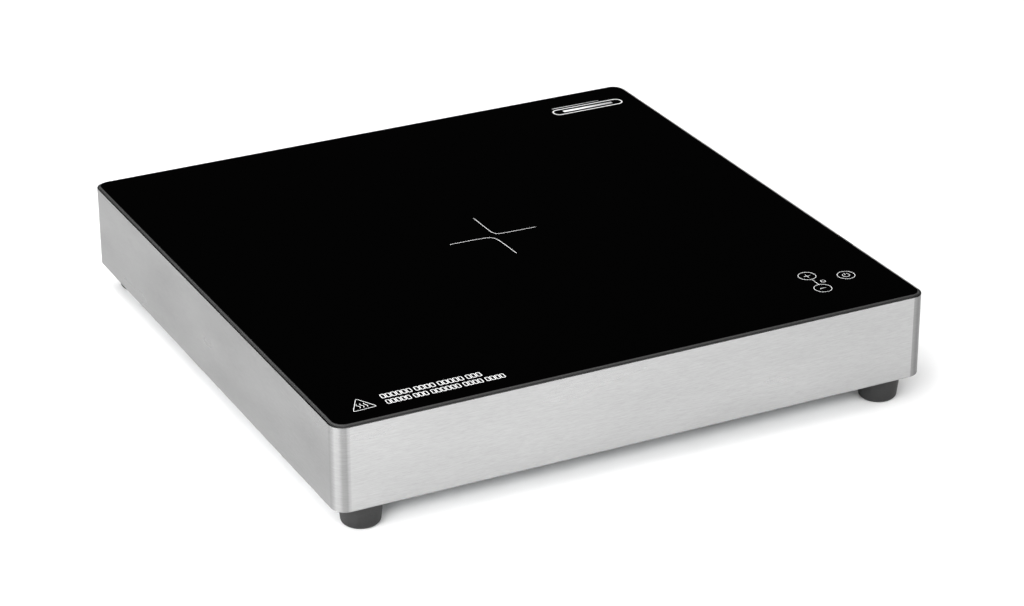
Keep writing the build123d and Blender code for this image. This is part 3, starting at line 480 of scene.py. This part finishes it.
def plainFinish(name):
    first, second, metal, roughLow, roughHigh, grainMm, bumpMm = plainFinishes[name]
    material, tree, shader, place = newMaterial(name)
    grain = grainAt(tree, place, grainMm, detail=3)
    setShader(tree, shader, {
        "Base Color": mixColours(tree, grain, hexColour(first), hexColour(second)),
        "Metallic": metal,
        "Roughness": rampTo(tree, grain, roughLow, roughHigh),
        "Normal": bumpFrom(tree, grain, bumpMm, plainBumpStrength)})
    return material


def dressNodes():
    finishes = {
        "stainless_steel": brushedStainless(), "black_glass": blackGlassCeramic(),
        "silicone_joint": siliconeJoint(), "black_rubber": mouldedRubber(),
        "galvanised_steel": galvanisedSheet(),
    }
    for slotName, finishName in slotFinish.items():
        finishes[slotName] = plainFinish(finishName)
    for part in frame["record"]["subparts"]:
        skin = nodes[part["node"]].data
        skin.materials.clear()
        skin.materials.append(finishes[part["material_slot"]])


dressNodes()
print("CAD nodes dressed")


# The fired ink and the lines that every mark is drawn with
inkSet = {
    "colour": "#E2E2E2",
    "faded": "#CACACA",
    "proudMm": 0.03,        # the fired ink stands this much above the glass
    "lineMm": 0.46,
    "fineMm": 0.4,
    "patchMm": 0.8,
    "rough": 0.5,
    "bumpMm": 0.02,
    "bumpStrength": 0.3,
}


def ceramicInk():
    # Fired ceramic ink: pale grey, matt and slightly uneven where the screen let less through
    material, tree, shader, place = newMaterial("ceramicInk")
    patchy = grainAt(tree, place, inkSet["patchMm"])
    faded, full = hexColour(inkSet["faded"]), hexColour(inkSet["colour"])
    setShader(tree, shader, {
        "Base Color": mixColours(tree, patchy, faded, full),
        "Roughness": inkSet["rough"],
        "Normal": bumpFrom(tree, patchy, inkSet["bumpMm"], inkSet["bumpStrength"])})
    return material


def inkLine(points, widthMm, closed=False, kind="POLY"):
    # One printed line through the points, in millimetres on the glass, as a flat raised strip
    data = bpy.data.curves.new("inkLine", "CURVE")
    data.dimensions = "3D"
    spline = data.splines.new(kind)
    spline.points.add(len(points) - 1)
    for target, (x, y) in zip(spline.points, points):
        target.co = (x * mm, y * mm, 0, 1)
    if kind == "NURBS":
        spline.order_u = 3
        spline.use_endpoint_u = True
        spline.resolution_u = 10
    spline.use_cyclic_u = closed
    data.bevel_depth = widthMm / 2 * mm
    data.bevel_resolution = 1
    data.use_fill_caps = not closed
    line = bpy.data.objects.new("inkLine", data)
    bpy.context.scene.collection.objects.link(line)
    return line


def circlePoints(centre, radius, fromDegrees=0, toDegrees=360, steps=40):
    turn = toDegrees - fromDegrees
    angles = [math.radians(fromDegrees + turn * i / steps) for i in range(steps + 1)]
    return [(centre[0] + radius * math.cos(a), centre[1] + radius * math.sin(a)) for a in angles]


def roundedOutline(centre, width, height, corner, steps=6):
    outline = []
    for quarter, (sideX, sideY) in enumerate(((1, 1), (-1, 1), (-1, -1), (1, -1))):
        middle = (centre[0] + sideX * (width / 2 - corner),
                  centre[1] + sideY * (height / 2 - corner))
        outline += circlePoints(middle, corner, quarter * 90, quarter * 90 + 90, steps)
    return outline


def printMark(name, lines, material):
    # Turn the lines into one mesh, flatten it and set it on the glass
    bpy.ops.object.select_all(action="DESELECT")
    for line in lines:
        line.select_set(True)
    bpy.context.view_layer.objects.active = lines[0]
    bpy.ops.object.convert(target="MESH")
    if len(lines) > 1:
        bpy.ops.object.join()
    mark = bpy.context.object
    mark.name = name
    tallest = max(abs(v.co.z) for v in mark.data.vertices)
    bpy.ops.object.mode_set(mode="EDIT")
    bpy.ops.mesh.select_all(action="SELECT")
    bpy.ops.mesh.remove_doubles(threshold=0.001 * mm)
    bpy.ops.mesh.normals_make_consistent(inside=False)
    bpy.ops.object.mode_set(mode="OBJECT")
    flatten = inkSet["proudMm"] * mm / tallest
    mark.data.transform(Matrix.Translation((0, 0, glassTop)) @ Matrix.Diagonal((1, 1, flatten, 1)))
    mark.data.materials.clear()
    mark.data.materials.append(material)
    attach(mark, "casing")


rightMm, frontMm, leftMm, backMm = rightSide / mm, frontSide / mm, leftSide / mm, backSide / mm

crossMark = {
    "arm": 29.4,
    "waist": 1.6,
    "tipLean": 0.8,     # how far the upright arms' ends and middles lean to the right
    "midLean": 0.9,
    "lowLean": 0.3,
    "tipRise": 0.2,     # and how far the level arms rise or drop
    "midRise": 0.6,
}

touchMark = {
    "plus": (50.5, 52.5),       # from the right and front edges of the casing
    "minus": (51.0, 33.7),
    "power": (29.1, 43.1),
    "lock": (45.8, 42.1),
    "ringRadius": 5.3,
    "ringTurn": 351,            # degrees drawn; the closed line makes the last step
    "glyph": 2.2,
    "powerArc": (125, 415),     # the open ring of the power sign, in degrees
    "powerArcSteps": 24,
    "powerStroke": (0.6, 1.0),  # its stroke: from above the middle to above the ring
    "lockSize": 2.6,
    "lockCorner": 0.6,
}

hotMark = {
    "corners": ((17.3, 13.9), (24.8, 27.5), (31.9, 14.5)),      # from the left and front edges
    "cornerRound": 1.6,
    "cornerDepth": 0.35,        # the rounded tip's depth, as a share of cornerRound
    "waveLength": 5.2,
    "waveDrop": 2.4,            # the waves start this far below the middle
    "waveSway": 0.6,
    "waveGap": 2.2,
    "waveSteps": 12,
}

noteRows = {
    # each row: from the left edge, from the front edge, length, how many boxes stand together
    "rows": ((38.4, 23.9, 60.9, (6, 4, 5, 3)), (38.5, 16.5, 71.9, (5, 3, 6, 4, 4))),
    "boxHeight": 4.4,
    "stroke": 0.65,
    "boxGap": 0.9,
    "groupGap": 2.4,
    "corner": 0.5,
}

badgeMark = {
    "fromRight": (64.5, 13.5),
    "fromBack": (32.5, 24.0),
    "corner": 4.0,
    "frameWidth": 1.1,
    "barWidth": 3.0,
    "barReach": 0.36,           # half the bar's length, as a share of the badge's width
    "rule": (62.0, 27.0, 21.0),     # from the right edge, to, and from the back edge
    "ruleWidth": 0.6,
}


def printCross(ink):
    # Two bent strokes that meet in the middle of the cooking zone
    arm, waist, third = crossMark["arm"], crossMark["waist"], crossMark["arm"] / 3
    tipLean, midLean, lowLean = crossMark["tipLean"], crossMark["midLean"], crossMark["lowLean"]
    tipRise, midRise = crossMark["tipRise"], crossMark["midRise"]
    northEast = [(tipLean, arm), (midLean, third), (waist, waist), (third, midRise),
                 (arm, tipRise)]
    southWest = [(-arm, tipRise), (-third, -tipRise), (-waist, -waist), (lowLean, -third),
                 (tipLean, -arm)]
    lines = [inkLine(path, inkSet["lineMm"], kind="NURBS") for path in (northEast, southWest)]
    printMark("crossMark", lines, ink)


def printTouchKeys(ink):
    # A ring for each touch key with its sign inside, and the line that links plus and minus
    lines = []
    centres = {name: (rightMm - touchMark[name][0], frontMm + touchMark[name][1])
               for name in ("plus", "minus", "power", "lock")}
    ring, glyph, width = touchMark["ringRadius"], touchMark["glyph"], inkSet["fineMm"]
    for name in ("plus", "minus", "power"):
        circle = circlePoints(centres[name], ring, 0, touchMark["ringTurn"])
        lines.append(inkLine(circle, width, True))
    for name in ("plus", "minus"):
        x, y = centres[name]
        lines.append(inkLine([(x - glyph, y), (x + glyph, y)], width))
    x, y = centres["plus"]
    lines.append(inkLine([(x, y - glyph), (x, y + glyph)], width))
    low = centres["minus"][1] + ring
    lines.append(inkLine([(x, low), (x, y - ring)], width))
    x, y = centres["power"]
    arc = circlePoints((x, y), glyph, *touchMark["powerArc"], touchMark["powerArcSteps"])
    lines.append(inkLine(arc, width))
    strokeFrom, strokeTo = touchMark["powerStroke"]
    lines.append(inkLine([(x, y + strokeFrom), (x, y + glyph + strokeTo)], width))
    size = touchMark["lockSize"]
    lock = roundedOutline(centres["lock"], size, size, touchMark["lockCorner"])
    lines.append(inkLine(lock, width, True))
    printMark("touchKeyMarks", lines, ink)


def printHotSign(ink):
    # Rounded triangle with three rising waves
    corners = [Vector((leftMm + x, frontMm + y)) for x, y in hotMark["corners"]]
    centre = sum(corners, Vector((0, 0))) / 3
    outline = []
    cut = hotMark["cornerRound"]
    for i, corner in enumerate(corners):
        before, after = corners[i - 1], corners[(i + 1) % 3]
        outline.append(corner + (before - corner).normalized() * cut)
        outline.append(corner + (centre - corner).normalized() * cut * hotMark["cornerDepth"])
        outline.append(corner + (after - corner).normalized() * cut)
    lines = [inkLine([(p.x, p.y) for p in outline], inkSet["lineMm"], True)]
    steps, base = hotMark["waveSteps"], centre.y - hotMark["waveDrop"]
    for offset in (-hotMark["waveGap"], 0.0, hotMark["waveGap"]):
        wave = []
        for step in range(steps + 1):
            rise = step / steps
            sway = hotMark["waveSway"] * math.sin(rise * 2 * math.pi)
            wave.append((centre.x + offset + sway, base + rise * hotMark["waveLength"]))
        lines.append(inkLine(wave, inkSet["lineMm"]))
    printMark("hotSurfaceMark", lines, ink)


def printNoteRows(ink):
    # Two rows of empty boxes where the real glass has two lines of small print
    lines = []
    tall, gap, groupGap = noteRows["boxHeight"], noteRows["boxGap"], noteRows["groupGap"]
    for fromLeft, fromFront, length, groups in noteRows["rows"]:
        count = sum(groups)
        spaces = (count - len(groups)) * gap + (len(groups) - 1) * groupGap
        wide = (length - spaces) / count
        x, y = leftMm + fromLeft, frontMm + fromFront
        for group in groups:
            for box in range(group):
                outline = roundedOutline((x + wide / 2, y), wide, tall, noteRows["corner"], 2)
                lines.append(inkLine(outline, noteRows["stroke"], True))
                x += wide + gap
            x += groupGap - gap
    printMark("noteRows", lines, ink)


def printBadge(ink):
    # A blank rounded badge with a plain bar in it and a thin rule behind it
    (outerX, innerX), (outerY, innerY) = badgeMark["fromRight"], badgeMark["fromBack"]
    centre = (rightMm - (outerX + innerX) / 2, backMm - (outerY + innerY) / 2)
    width, height = outerX - innerX, outerY - innerY
    ruleFrom, ruleTo, ruleBack = badgeMark["rule"]
    reach, ruleY = width * badgeMark["barReach"], backMm - ruleBack
    edge = roundedOutline(centre, width, height, badgeMark["corner"])
    bar = [(centre[0] - reach, centre[1]), (centre[0] + reach, centre[1])]
    rule = [(rightMm - ruleFrom, ruleY), (rightMm - ruleTo, ruleY)]
    lines = [
        inkLine(edge, badgeMark["frameWidth"], True),
        inkLine(bar, badgeMark["barWidth"]),
        inkLine(rule, badgeMark["ruleWidth"]),
    ]
    printMark("blankBadge", lines, ink)


ink = ceramicInk()
for printer in (printCross, printTouchKeys, printHotSign, printNoteRows, printBadge):
    printer(ink)
print("glass printed")
